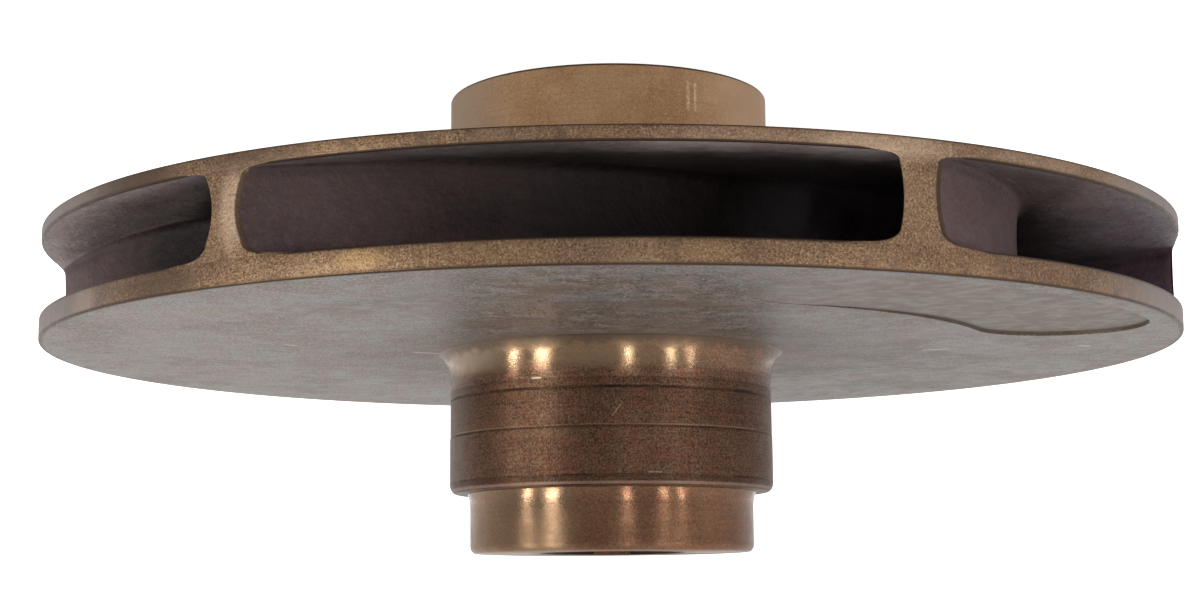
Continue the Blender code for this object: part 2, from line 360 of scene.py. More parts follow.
def turned(name, section, materials, pick=None, steps=TURNED_STEPS, shift=None):
    """A solid of revolution. section gives the closed (radius, height) outline at an angle, pick
    the number of the material at a radius and height, and shift moves a point of a rough skin."""
    shape = bmesh.new()
    rings = []
    for i in range(steps):
        angle = math.tau * i / steps
        ring = []
        for radius, height in section(angle):
            place = Vector((*polar(radius, angle), height))
            if shift:
                place = shift(place)
            ring.append(shape.verts.new(place))
        rings.append(ring)
    count = len(rings[0])
    for i, ring in enumerate(rings):
        following = rings[(i + 1) % steps]
        for j in range(count):
            k = (j + 1) % count
            face = shape.faces.new((ring[j], following[j], following[k], ring[k]))
            if pick:
                middle = face.calc_center_median()
                face.material_index = pick(math.hypot(middle.x, middle.y), middle.z)
    return finished_mesh(name, shape, materials)


def patch(shape, first, second, place):
    """A grid of faces over two lists of steps, each corner where place puts it."""
    grid = [[shape.verts.new(place(a, b)) for b in second] for a in first]
    for low, high in zip(grid, grid[1:]):
        for j in range(len(second) - 1):
            shape.faces.new((low[j], low[j + 1], high[j + 1], high[j]))


def cut(obj, cutter):
    """Cuts one closed mesh out of another for good, and removes the cutter."""
    modifier = obj.modifiers.new("cut", "BOOLEAN")
    modifier.operation = "DIFFERENCE"
    modifier.solver = "EXACT"
    modifier.object = cutter
    mesh = evaluated_mesh(obj)
    obj.modifiers.clear()
    obj.data = mesh
    smooth(mesh)
    bpy.data.objects.remove(cutter, do_unlink=True)


def keyway_cutter():
    """A slot up the bore, a little longer than the part at both ends."""
    shape = bmesh.new()
    bmesh.ops.create_cube(shape, size=1.0)
    reach = BORE_RADIUS + KEYWAY_DEPTH
    for vertex in shape.verts:
        vertex.co.x *= KEYWAY_WIDTH
        vertex.co.y = reach if vertex.co.y > 0 else 0.0
        vertex.co.z = SPIGOT_TOP + MM if vertex.co.z > 0 else NOSE_LOW - MM
    return finished_mesh("keyway_cutter", shape, [])


def passage_floor(radius):
    """Height of the front shroud's water side at a radius."""
    if radius >= FLOOR_START:
        share = (radius - FLOOR_START) / (RIM_RADIUS - FLOOR_START)
        return FLOOR_LOW + (FRONT_RIM_HIGH - FLOOR_LOW) * share
    side = (FLOOR_START - radius) / NECK_INNER_REACH
    return NECK_INNER_START + NECK_INNER_RISE * math.sqrt(max(0.0, 1 - side * side))


def foot_half_angle(fillet):
    """Half the stretch of rim, in degrees, that a vane's flared foot takes up."""
    reach = (VANE_THICKNESS / 2 + VANE_DRAFT + fillet) / math.sin(VANE_ANGLE)
    return math.degrees(reach / RIM_RADIUS)


def rim_round(angle, fillet):
    """Size of the rounding on a rim's inner edge: none where a vane's foot runs out to the rim."""
    away = min(abs((math.degrees(angle) - tip + 180.0) % 360.0 - 180.0) for tip in VANE_TIPS)
    share = clamp((away - foot_half_angle(fillet)) / ROUND_FADE_DEGREES)
    return LEAST_ROUND + (RIM_INNER_ROUND - LEAST_ROUND) * share


def front_shroud_section(angle):
    size = rim_round(angle, VANE_FRONT_FILLET)
    rim_high = (RIM_RADIUS, FRONT_RIM_HIGH)
    rim_low = (RIM_RADIUS, FRONT_RIM_HIGH - FRONT_RIM_THICKNESS)
    neck = quarter_ellipse(
        (RING_RADIUS + NECK_OUTER_REACH, RING_SEAM),
        NECK_OUTER_REACH, NECK_OUTER_RISE, 90.0, 180.0, NECK_ARC_POINTS,
    )
    throat = quarter_ellipse(
        (FLOOR_START, NECK_INNER_START),
        NECK_INNER_REACH, NECK_INNER_RISE, 180.0, 90.0, NECK_ARC_POINTS,
    )
    outer = rounded_corner(rim_high, rim_low, neck[0], RIM_OUTER_ROUND)
    inner = rounded_corner(throat[-1], rim_high, rim_low, size)
    return [
        *inner,
        *outer,
        *between(outer[-1], neck[0], CONE_PARTS),
        *neck,
        (EYE_RADIUS, RING_SEAM),
        *throat,
        *between(throat[-1], inner[0], FLOOR_PARTS),
    ]


def front_shroud_finish(radius, height):
    """0 dry side, 1 rim, 2 water side."""
    if radius > RIM_RADIUS - RIM_MARGIN:
        return 1
    if radius > EYE_RADIUS + BORE_MARGIN and height > passage_floor(radius) - FLOOR_MARGIN:
        return 2
    return 0


def front_shroud_skin(place):
    """Lifts or sinks a point a little, as sand does, but for the rim and the ring's seam."""
    radius = math.hypot(place.x, place.y)
    amount = clamp((RIM_RADIUS - radius) / SAND_FADE)
    amount *= clamp((radius - RING_RADIUS) / SAND_FADE)
    lift = noise.fractal(place * (1 / SAND_GRAIN), 1.0, 2.0, 3)
    place.z += amount * (SAND_DEPTH * lift)
    return place


def make_front_shroud(finishes):
    return turned(
        "front_shroud_casting", front_shroud_section,
        [finishes["cast"], finishes["skimmed"], finishes["passage"]],
        front_shroud_finish, shift=front_shroud_skin,
    )


def suction_ring_section(angle):
    edge = rounded_corner(
        (RING_RADIUS, RING_SEAM), (RING_RADIUS, 0.0), (EYE_RADIUS, 0.0), RING_EDGE, 6
    )
    return [
        (RING_RADIUS, RING_SEAM),
        *edge,
        (EYE_RADIUS + EYE_LEAD_IN, 0.0),
        (EYE_RADIUS, EYE_LEAD_IN),
        (EYE_RADIUS, RING_SEAM),
    ]


def make_suction_ring(finishes):
    return turned(
        "suction_ring_turned", suction_ring_section,
        [finishes["ring"], finishes["passage"]],
        lambda radius, height: int(radius < EYE_RADIUS + SIDE_MARGIN),
    )


def back_shroud_section(angle):
    size = rim_round(angle, VANE_BACK_FILLET)
    bore_high, bore_low = (BORE_RADIUS, BACK_FACE), (BORE_RADIUS, BACK_LOW)
    rim_high, rim_low = (RIM_RADIUS, BACK_FACE), (RIM_RADIUS, BACK_LOW)
    outer = rounded_corner(bore_high, rim_high, rim_low, RIM_OUTER_ROUND)
    inner = rounded_corner(rim_high, rim_low, bore_low, size)
    return [
        *outer,
        *inner,
        *between(inner[-1], bore_low, DISC_PARTS),
        bore_low,
        bore_high,
        *between(bore_high, outer[0], DISC_PARTS),
    ]


def back_shroud_finish(radius, height):
    """0 face, 1 rim, 2 water side, 3 bore."""
    if radius < BORE_RADIUS + BORE_MARGIN:
        return 3
    if radius > RIM_RADIUS - RIM_MARGIN:
        return 1
    return 2 if height < BACK_LOW + SIDE_MARGIN else 0


def pocket_cutter():
    """The track of a round cutter on an arc, its floor rising along the arc until it runs out."""
    length = POCKET_TRACK_RADIUS * (POCKET_END - POCKET_START)
    shape = bmesh.new()

    def spot(step, column, top):
        along = -POCKET_CUTTER_RADIUS + (length + 2 * POCKET_CUTTER_RADIUS) * step / POCKET_STEPS
        past = max(-along, along - length, 0.0)
        half = math.sqrt(max(0.0, POCKET_CUTTER_RADIUS ** 2 - past ** 2))
        left = 1.0 - clamp(along / length) ** POCKET_RUN_OUT
        depth = POCKET_END_DEPTH + (POCKET_DEPTH - POCKET_END_DEPTH) * left
        side = -1 + 2 * column / POCKET_COLUMNS
        angle = POCKET_START + along / POCKET_TRACK_RADIUS
        x, y = polar(POCKET_TRACK_RADIUS + side * half, angle)
        return x, y, BACK_FACE + POCKET_HEADROOM if top else BACK_FACE - depth

    steps, columns, levels = range(POCKET_STEPS + 1), range(POCKET_COLUMNS + 1), (False, True)
    for top in levels:
        patch(shape, steps, columns, lambda step, column: spot(step, column, top))
    for column in (0, POCKET_COLUMNS):
        patch(shape, steps, levels, lambda step, top: spot(step, column, top))
    for step in (0, POCKET_STEPS):
        patch(shape, columns, levels, lambda column, top: spot(step, column, top))
    return finished_mesh("pocket_cutter", shape, [])


def make_back_shroud(finishes):
    obj = turned(
        "back_shroud_casting", back_shroud_section,
        [finishes["face"], finishes["skimmed"], finishes["passage"], finishes["hub"]],
        back_shroud_finish,
    )
    cut(obj, pocket_cutter())
    cut(obj, keyway_cutter())
    return obj


def hub_section(angle):
    large = HUB_RADIUS + HUB_LEDGE_STEP
    spigot_edge = quarter_ellipse(
        (SPIGOT_RADIUS - SPIGOT_EDGE_REACH, SPIGOT_TOP - SPIGOT_EDGE_RISE),
        SPIGOT_EDGE_REACH, SPIGOT_EDGE_RISE, 90.0, 0.0, 8,
    )
    edge = quarter_ellipse(
        (large - HUB_EDGE_REACH, HUB_EDGE_START),
        HUB_EDGE_REACH, HUB_STEP - HUB_EDGE_START, 90.0, HUB_EDGE_END, 9,
    )
    lines = []
    for height, depth, width in reversed(HUB_LINES):
        high, low = height + width / 2, height - width / 2
        lines += [(HUB_RADIUS, high), (HUB_RADIUS - depth, height), (HUB_RADIUS, low)]
    return [
        *spigot_edge,
        *root_arc(SPIGOT_RADIUS, SPIGOT_ROOT_TOP, HUB_STEP, SPIGOT_ROOT_REACH, 7),
        *edge,
        (large, HUB_EDGE_START - HUB_EDGE_LEAD),
        (large, HUB_LEDGE_HEIGHT + HUB_LEDGE_RISE),
        (HUB_RADIUS, HUB_LEDGE_HEIGHT),
        *lines,
        *quarter_ellipse(
            (HUB_RADIUS + HUB_FLARE_REACH, HUB_FLARE_TOP),
            HUB_FLARE_REACH, HUB_FLARE_TOP - BACK_FACE, 180.0, HUB_FLARE_END, HUB_FLARE_POINTS,
        ),
        (HUB_RADIUS, BACK_FACE - SEAM_SINK),
        (BORE_RADIUS, BACK_FACE - SEAM_SINK),
        (BORE_RADIUS, SPIGOT_TOP - BORE_CHAMFER),
        (BORE_RADIUS + BORE_CHAMFER, SPIGOT_TOP),
    ]


def make_hub(finishes):
    obj = turned("hub_and_spigot_turned", hub_section, [finishes["hub"]], steps=HUB_STEPS)
    cut(obj, keyway_cutter())
    return obj


def nose_section(angle):
    flare = quarter_ellipse(
        (NOSE_RADIUS + NOSE_FLARE_REACH, NOSE_FLARE_START),
        NOSE_FLARE_REACH, BACK_LOW - NOSE_FLARE_START, NOSE_FLARE_END, 180.0, NOSE_FLARE_POINTS,
    )
    edge = rounded_corner(
        (NOSE_RADIUS, NOSE_FLARE_START), (NOSE_RADIUS, NOSE_LOW), (BORE_RADIUS, NOSE_LOW), NOSE_EDGE
    )
    return [
        (flare[0][0], BACK_LOW + SEAM_SINK),
        *flare,
        *edge,
        (BORE_RADIUS + BORE_CHAMFER, NOSE_LOW),
        (BORE_RADIUS, NOSE_LOW + BORE_CHAMFER),
        (BORE_RADIUS, BACK_LOW + SEAM_SINK),
    ]


def make_nose(finishes):
    obj = turned("hub_nose_casting", nose_section, [finishes["passage"]], steps=NOSE_STEPS)
    cut(obj, keyway_cutter())
    return obj


def vane_rows():
    """The rows up a vane. Each is its distance from the nearer shroud or None between the fillets,
    its share of the way up, and how far its fillet stands out."""
    rows = [(-VANE_SINK, 0.0, VANE_FRONT_FILLET)]
    for i in range(VANE_FILLET_ROWS):
        angle = math.pi / 2 * (1 - i / VANE_FILLET_ROWS)
        rise = VANE_FRONT_FILLET * (1 - math.sin(angle))
        rows.append((rise, 0.0, VANE_FRONT_FILLET * (1 - math.cos(angle))))
    for i in range(VANE_MIDDLE_ROWS + 1):
        rows.append((None, i / VANE_MIDDLE_ROWS, 0.0))
    for i in range(1, VANE_FILLET_ROWS + 1):
        angle = math.pi / 2 * i / VANE_FILLET_ROWS
        drop = VANE_BACK_FILLET * (1 - math.sin(angle))
        rows.append((drop, 1.0, VANE_BACK_FILLET * (1 - math.cos(angle))))
    rows.append((-VANE_SINK, 1.0, VANE_BACK_FILLET))
    return rows


def vane_point(along, across, row, thickness, draft):
    """A point of the vane whose tip is at angle zero. along goes from the tip inwards, across from
    one side to the other. The fillet on the front shroud grows inwards, the inner end is round,
    and the tip keeps to the rim's radius but for its rounded edges."""
    distance, share, fillet = row
    grown = min(1.0, along / VANE_GROWTH_LENGTH)
    grown = 1 + (VANE_FILLET_GROWTH - 1) * grown * grown * (3 - 2 * grown)
    if distance is not None and share == 0.0 and distance > 0:
        distance *= grown
    if share == 0.0:
        fillet *= grown
    half = thickness / 2 + fillet + draft * (2 * share - 1) ** 2
    nose = max(0.0, (along - 1 + VANE_NOSE_LENGTH) / VANE_NOSE_LENGTH)
    offset = across * half * math.sqrt(max(0.0, 1 - nose * nose))
    rim = RIM_RADIUS
    if distance is not None and distance < 0:
        rim -= VANE_SINK_INSET
    elif abs(across) > VANE_EDGE_COLUMN:
        clear = distance if distance is not None else VANE_BACK_FILLET
        bend = (abs(across) - VANE_EDGE_COLUMN) / (1 - VANE_EDGE_COLUMN)
        rim -= VANE_EDGE_ROUND * bend * bend * min(1.0, clear / VANE_EDGE_FADE)
    sine = math.sin(VANE_ANGLE)
    start = math.sqrt(rim * rim - (offset * sine) ** 2) - offset * math.cos(VANE_ANGLE)
    spiral = start * (VANE_INNER_RADIUS / start) ** along
    turn = -math.log(spiral / RIM_RADIUS) / math.tan(VANE_ANGLE)
    angle = -turn
    heading = angle - math.pi / 2 - VANE_ANGLE
    x = spiral * math.cos(angle) - offset * math.sin(heading)
    y = spiral * math.sin(angle) + offset * math.cos(heading)
    floor = passage_floor(math.hypot(x, y))
    if distance is None:
        low = floor + VANE_FRONT_FILLET * grown
        high = BACK_LOW - VANE_BACK_FILLET
        z = low + (high - low) * share
    else:
        z = BACK_LOW - distance if share == 1.0 else floor + distance
    return x, y, z


def vane_mesh(name, thickness, draft):
    """One vane, as the closed skin of a block bent to the spiral."""
    rows = vane_rows()
    stations = [(i / VANE_STATIONS) ** VANE_STATION_POWER for i in range(VANE_STATIONS + 1)]
    shape = bmesh.new()

    def at(along, across, row):
        return vane_point(along, across, row, thickness, draft)

    for side in (-1.0, 1.0):
        patch(shape, stations, rows, lambda along, row: at(along, side, row))
    for row in (rows[0], rows[-1]):
        patch(shape, stations, VANE_COLUMNS, lambda along, across: at(along, across, row))
    for end in (0.0, 1.0):
        patch(shape, rows, VANE_COLUMNS, lambda row, across: at(end, across, row))
    return finished_mesh(name, shape, [])


def vane_ring_tree():
    """Sets one vane at each of six angles, one of them slim, and gives the skimmed ends their
    own finish."""
    tree = bpy.data.node_groups.new("vanes round the eye", "GeometryNodeTree")
    tips = [f"Tip angle {number}" for number in range(1, len(VANE_TIPS) + 1)]
    sockets = [("Vane", "Geometry"), ("Slim vane", "Object"), ("Slim place", "Int")]
    sockets += [(name, "Float") for name in (*tips, "Skimmed radius")]
    sockets += [("Passage finish", "Material"), ("Skimmed finish", "Material")]
    for name, kind in sockets:
        tree.interface.new_socket(name=name, in_out="INPUT", socket_type="NodeSocket" + kind)
    tree.interface.new_socket(name="Vanes", in_out="OUTPUT", socket_type="NodeSocketGeometry")

    def add(kind, fed, **settings):
        """A node with its settings, then its inputs linked to the outputs given for them."""
        node = tree.nodes.new(kind)
        for name, value in settings.items():
            setattr(node, name, value)
        for name, output in fed.items():
            tree.links.new(output, node.inputs[name])
        return node

    given = add("NodeGroupInput", {}).outputs
    points = add("GeometryNodeMeshLine", {})
    set_inputs(points, ("Count", "Offset"), len(VANE_TIPS), (0.0, 0.0, 0.0))
    place = add("GeometryNodeInputIndex", {}).outputs[0]
    chosen = add("GeometryNodeIndexSwitch", {"Index": place}, data_type="FLOAT")
    while len(chosen.index_switch_items) < len(VANE_TIPS):
        chosen.index_switch_items.new()
    for number, name in enumerate(tips, start=1):
        tree.links.new(given[name], chosen.inputs[number])
    turn = add("ShaderNodeCombineXYZ", {"Z": chosen.outputs[0]})

    is_slim = add(
        "FunctionNodeCompare", {"A": place, "B": given["Slim place"]},
        data_type="INT", operation="EQUAL",
    )
    not_slim = add("FunctionNodeBooleanMath", {0: is_slim.outputs[0]}, operation="NOT")
    slim = add("GeometryNodeObjectInfo", {"Object": given["Slim vane"]})
    both = add("GeometryNodeJoinGeometry", {})
    for shape, wanted in ((slim.outputs["Geometry"], is_slim), (given["Vane"], not_slim)):
        placed = add("GeometryNodeInstanceOnPoints", {
            "Points": points.outputs[0], "Selection": wanted.outputs[0],
            "Instance": shape, "Rotation": turn.outputs[0],
        })
        tree.links.new(placed.outputs[0], both.inputs[0])
    real = add("GeometryNodeRealizeInstances", {0: both.outputs[0]})

    spot = add("GeometryNodeInputPosition", {}).outputs[0]
    flat = add("ShaderNodeVectorMath", {0: spot}, operation="MULTIPLY")
    flat.inputs[1].default_value = (1.0, 1.0, 0.0)
    radius = add("ShaderNodeVectorMath", {0: flat.outputs[0]}, operation="LENGTH")
    at_rim = add(
        "FunctionNodeCompare", {0: radius.outputs["Value"], 1: given["Skimmed radius"]},
        operation="GREATER_THAN",
    )
    passage = add("GeometryNodeSetMaterial", {
        "Geometry": real.outputs[0], "Material": given["Passage finish"],
    })
    skimmed = add("GeometryNodeSetMaterial", {
        "Geometry": passage.outputs[0], "Selection": at_rim.outputs[0],
        "Material": given["Skimmed finish"],
    })
    add("NodeGroupOutput", {0: skimmed.outputs[0]})
    return tree


def make_vanes(finishes):
    pattern = vane_mesh("vane_pattern", VANE_THICKNESS, VANE_DRAFT)
    slim = vane_mesh("slim_vane_pattern", SLIM_VANE_THICKNESS, SLIM_VANE_DRAFT)
    tree = vane_ring_tree()
    modifier = pattern.modifiers.new("vanes", "NODES")
    modifier.node_group = tree
    given = {
        "Slim vane": slim,
        "Slim place": SLIM_VANE_PLACE,
        "Skimmed radius": RIM_RADIUS - VANE_SKIM_DEPTH,
        "Passage finish": finishes["passage"],
        "Skimmed finish": finishes["skimmed"],
    }
    for number, tip in enumerate(VANE_TIPS, start=1):
        given[f"Tip angle {number}"] = math.radians(tip)
    keys = {item.name: item.identifier for item in tree.interface.items_tree}
    for name, value in given.items():
        modifier[keys[name]] = value
    vanes = add_object("vanes_cast", evaluated_mesh(pattern))
    for model in (pattern, slim):
        bpy.data.objects.remove(model, do_unlink=True)
    return vanes


class Finish:
    """One material, with short calls for the nodes that its surface is made of. Lengths are in
    millimetres and angles in degrees, and color is the colour mixed so far."""

    def __init__(self, name, roughness, metallic):
        self.material = bpy.data.materials.new(name)
        self.material.use_nodes = True
        self.tree = self.material.node_tree
        self.shader = self.tree.nodes["Principled BSDF"]
        set_inputs(self.shader, ("Roughness", "Metallic"), roughness, metallic)
        self.color = None
        self.place = self.vector("SCALE", self.add("TexCoord").outputs["Object"], scale=1 / MM)
        self.x, self.y, self.z = self.parts_of(self.place)
        flat = self.vector("MULTIPLY", self.place, (1.0, 1.0, 0.0))
        self.radius = self.vector("LENGTH", flat)
        self.facing = self.vector("NORMALIZE", flat)

    def add(self, kind):
        return self.tree.nodes.new("ShaderNode" + kind)

    def feed(self, socket, value):
        if isinstance(value, bpy.types.NodeSocket):
            self.tree.links.new(value, socket)
        else:
            socket.default_value = value

    def parts_of(self, vector):
        node = self.add("SeparateXYZ")
        self.feed(node.inputs[0], vector)
        return node.outputs

    def vector(self, operation, first, second=None, scale=None):
        node = self.add("VectorMath")
        node.operation = operation
        self.feed(node.inputs[0], first)
        if second is not None:
            self.feed(node.inputs[1], second)
        if scale is not None:
            self.feed(node.inputs["Scale"], scale)
        return node.outputs["Value" if operation in ("LENGTH", "DOT_PRODUCT") else 0]

    def math(self, operation, first, second=0.0):
        node = self.add("Math")
        node.operation = operation
        self.feed(node.inputs[0], first)
        self.feed(node.inputs[1], second)
        return node.outputs[0]

    def plus(self, first, second):
        return self.math("ADD", first, second)

    def minus(self, first, second):
        return self.math("SUBTRACT", first, second)

    def times(self, first, *others):
        """The product of the values."""
        for other in others:
            first = self.math("MULTIPLY", first, other)
        return first

    def ramp(self, value, low, high, start=0.0, end=1.0):
        """A smooth change from start to end as value goes from low to high."""
        node = self.add("MapRange")
        node.interpolation_type = "SMOOTHSTEP"
        self.feed(node.inputs["Value"], value)
        set_inputs(node, MAP_BOUNDS, low, high, start, end)
        return node.outputs[0]

    def band(self, value, middle, half, soft):
        """One between middle - half and middle + half, fading over soft on both sides."""
        away = self.math("ABSOLUTE", self.minus(value, middle))
        return self.ramp(away, half, half + soft, 1.0, 0.0)

    def noise(self, scale, detail=3.0, roughness=0.55, vector=None):
        node = self.add("TexNoise")
        self.feed(node.inputs["Vector"], self.place if vector is None else vector)
        set_inputs(node, ("Scale", "Detail", "Roughness"), scale, detail, roughness)
        return node.outputs[0]

    def streaks(self, across, along):
        """Noise drawn out round the axis, across per millimetre and along per turn."""
        node = self.add("CombineXYZ")
        parts = self.parts_of(self.facing)
        self.feed(node.inputs[0], self.times(parts[0], along))
        self.feed(node.inputs[1], self.times(parts[1], along))
        self.feed(node.inputs[2], self.times(self.plus(self.radius, self.z), across))
        return self.noise(1.0, vector=node.outputs[0])

    def mix(self, share, first, second):
        node = self.add("Mix")
        node.data_type = "RGBA"
        self.feed(node.inputs[0], share)
        for socket, value in ((node.inputs[6], first), (node.inputs[7], second)):
            self.feed(socket, value if isinstance(value, bpy.types.NodeSocket) else (*value, 1.0))
        return node.outputs[2]

    def ground(self, value, low, high, first, second):
        """Starts the colour, from first to second as value goes from low to high."""
        self.color = self.mix(self.ramp(value, low, high), first, second)

    def tint(self, color, *shares):
        """Mixes another colour in, by the product of the shares."""
        self.color = self.mix(self.times(*shares), self.color, color)

    def stain(self, value, low, high, share, color):
        """Mixes another colour in, from none to share as value goes from low to high."""
        self.tint(color, self.ramp(value, low, high, 0.0, share))

    def shade(self, amount):
        """Makes the colour lighter or darker."""
        self.color = self.vector("SCALE", self.color, scale=amount)

    def filtered(self, amounts):
        """The colour with its red, green and blue each times an amount."""
        return self.vector("MULTIPLY", self.color, amounts)

    def scratch_and_glint_line(self, start, end, half, soft):
        """One along a straight line between two places, fading over soft beside it; used for
        scratches, nicks, painted glints and painted highlight streaks.
        """
        start = Vector(start)
        way = Vector(end) - start
        reach = self.vector("SUBTRACT", self.place, start)
        share = self.vector("DOT_PRODUCT", reach, way / way.length_squared)
        share = self.math("MINIMUM", self.math("MAXIMUM", share, 0.0), 1.0)
        foot = self.vector("SCALE", way, scale=share)
        away = self.vector("LENGTH", self.vector("SUBTRACT", reach, foot))
        return self.ramp(away, half, half + soft, 1.0, 0.0)

    def arc_patch(self, radius, angle, length, width):
        """A soft patch drawn out round the axis."""
        x, y = polar(1.0, math.radians(angle))
        along = self.vector("DOT_PRODUCT", self.facing, (-y, x, 0.0))
        front = self.vector("DOT_PRODUCT", self.facing, (x, y, 0.0))
        along = self.times(self.math("ARCTAN2", along, front), radius / (length / 2))
        across = self.times(self.minus(self.radius, radius), 1.0 / (width / 2))
        away = self.plus(self.times(along, along), self.times(across, across))
        return self.ramp(away, ARC_PATCH_CORE, 1.0, 1.0, 0.0)

    def rim_patch(self, angle, height, length, rise):
        """A soft patch on the rim."""
        x, y = polar(RIM_RADIUS / MM, math.radians(angle))
        reach = self.vector("SUBTRACT", self.place, (x, y, height))
        reach = self.vector("MULTIPLY", reach, (2 / length, 2 / length, 2 / rise))
        return self.ramp(self.vector("LENGTH", reach), RIM_PATCH_CORE, 1.0, 1.0, 0.0)

    def brushed_round(self, amount):
        """Stretches highlights along the axis, as fine turning marks do."""
        tangent = self.add("Tangent")
        tangent.direction_type = "RADIAL"
        tangent.axis = "Z"
        self.feed(self.shader.inputs["Tangent"], tangent.outputs[0])
        set_inputs(self.shader, ("Anisotropic", "Anisotropic Rotation"), amount, QUARTER_TURN)

    def surface(self, roughness, *layers):
        """The material, with its colour, a roughness and height layers fed to the shader. A layer
        is a height and its depth."""
        self.feed(self.shader.inputs["Base Color"], self.color)
        self.feed(self.shader.inputs["Roughness"], roughness)
        normal = None
        for height, depth in layers:
            node = self.add("Bump")
            set_inputs(node, ("Strength", "Distance"), 1.0, depth * MM)
            self.feed(node.inputs["Height"], height)
            if normal:
                self.feed(node.inputs["Normal"], normal)
            normal = node.outputs[0]
        self.feed(self.shader.inputs["Normal"], normal)
        return self.material


def skimmed_finish():
    """Rims and vane ends: skimmed in the lathe, tan brown, with painted highlights and painted shade
    in patches, a painted reflection that greys both sides, dark along the rims' edges, and painted
    shade on the edges at the openings between the vanes."""
    f = Finish("skimmed_bronze", 0.42, 0.9)
    rim = RIM_RADIUS / MM
    grain = f.noise(3.6, 4.0, 0.75)
    dirt = f.noise(0.45, 4.0, 0.6)
    marks = f.streaks(7.0, 2.0)
    f.ground(f.noise(0.09), 0.35, 0.65, (0.25, 0.148, 0.09), (0.345, 0.215, 0.128))
    f.stain(grain, 0.50, 0.64, 0.7, (0.60, 0.43, 0.29))
    f.stain(grain, 0.50, 0.36, 0.8, (0.10, 0.06, 0.04))
    f.stain(dirt, 0.52, 0.72, 0.55, (0.15, 0.10, 0.075))
    f.stain(marks, 0.52, 0.72, 0.3, (0.17, 0.11, 0.07))
    # Patches of painted highlight and painted shade on the rims.
    for angle, height, length, rise, share, color in RIM_PAINTED_LIGHT:
        painted_patch = f.rim_patch(angle, height, length, rise)
        f.tint(color, painted_patch, f.ramp(grain, 0.3, 0.6, 0.5, 1.0), share)
    # Painted reflection: the rims greyer towards both ends as seen, where they turn away.
    f.stain(f.math("ABSOLUTE", f.x), 61.0, 77.0, 0.75, (0.36, 0.31, 0.30))

    # Painted shade on the rims' edges where they turn into the openings, away from the vane ends.
    turn = f.times(f.math("ARCTAN2", f.y, f.x), math.degrees(1.0))
    half_pitch = 180.0 / len(VANE_TIPS)
    from_vane = f.math("PINGPONG", f.minus(turn, VANE_MEAN_OFFSET), half_pitch)
    front_edge = f.ramp(f.z, FRONT_RIM_HIGH / MM - OPENING_EDGE, FRONT_RIM_HIGH / MM)
    back_edge = f.ramp(f.z, BACK_LOW / MM, BACK_LOW / MM + OPENING_EDGE, 1.0, 0.0)
    opening = f.times(f.math("MINIMUM", front_edge, back_edge), f.ramp(from_vane, 3.6, 6.2, 0.0, 0.65))
    f.tint((0.11, 0.072, 0.05), opening)

    skin_start = (FRONT_RIM_HIGH - FRONT_RIM_THICKNESS) / MM + 0.05
    f.tint((0.10, 0.062, 0.042), f.ramp(f.z, skin_start, FRONT_SKIN_END, 0.6, 0.0))
    f.stain(f.z, BACK_FACE / MM - 0.5, BACK_FACE / MM - 0.15, 0.85, (0.10, 0.06, 0.036))
    f.tint((0.075, 0.048, 0.034), f.ramp(f.radius, rim - 0.06, rim - 0.003, 0.92, 0.0))
    f.brushed_round(0.6)
    roughness = f.ramp(f.plus(grain, f.times(dirt, 0.6)), 0.6, 1.0, 0.34, 0.52)
    return f.surface(roughness, (f.noise(1.7, 4.0, 0.6), 0.06), (marks, 0.02))


def cast_finish():
    """The front shroud's dry side, as it came out of the sand."""
    f = Finish("cast_bronze", 0.6, 0.8)
    grain = f.noise(1.6, 5.0, 0.65)
    f.ground(f.noise(0.06), 0.3, 0.7, (0.22, 0.145, 0.095), (0.31, 0.21, 0.135))
    f.stain(grain, 0.4, 0.75, 0.5, (0.42, 0.31, 0.215))
    f.stain(f.noise(0.16, 5.0, 0.6), 0.52, 0.68, 0.5, (0.14, 0.10, 0.075))
    roughness = f.ramp(grain, 0.3, 0.7, 0.48, 0.68)
    return f.surface(roughness, (f.noise(0.8, 5.0, 0.6), 0.25), (grain, 0.10))


def ring_finish():
    """The suction ring: matte, grainy tan, with painted highlight streaks, painted reflection greying
    its left side, painted light on its right side, and a painted contact shadow round its end.
    """
    f = Finish("ring_bronze", 0.55, 0.85)
    grain = f.noise(2.8, 4.0, 0.8)
    marks = f.streaks(5.0, 2.0)
    f.ground(f.noise(0.14), 0.3, 0.7, (0.46, 0.265, 0.135), (0.58, 0.36, 0.20))
    f.stain(grain, 0.50, 0.70, 0.6, (0.84, 0.60, 0.38))
    f.stain(grain, 0.48, 0.30, 0.6, (0.18, 0.10, 0.055))
    f.stain(marks, 0.54, 0.72, 0.25, (0.22, 0.13, 0.08))
    # Painted reflection greys the ring's left side and painted light lightens its right side.
    f.stain(f.x, 12.0, 24.0, 0.6, (0.47, 0.37, 0.30))
    f.stain(f.x, -12.0, -22.0, 0.6, (0.68, 0.47, 0.32))
    # Painted highlight streaks up the ring, where a window is reflected.
    low, high = RING_HIGHLIGHT_HEIGHTS
    for angle in RING_HIGHLIGHT_ANGLES:
        x, y = polar(RING_RADIUS / MM, math.radians(angle))
        highlight_streak = f.scratch_and_glint_line((x, y, low), (x, y, high), 0.10, 0.3)
        f.tint((0.95, 0.78, 0.58), highlight_streak, f.ramp(grain, 0.35, 0.6, 0.1, 0.6))
    # Painted contact shadow: a dark line round the ring's end, where it stands on the floor.
    f.tint((0.03, 0.02, 0.015), f.ramp(f.z, 0.25, 0.5, 0.92, 0.0))
    return f.surface(f.ramp(grain, 0.3, 0.7, 0.46, 0.62), (grain, 0.05), (marks, 0.02))


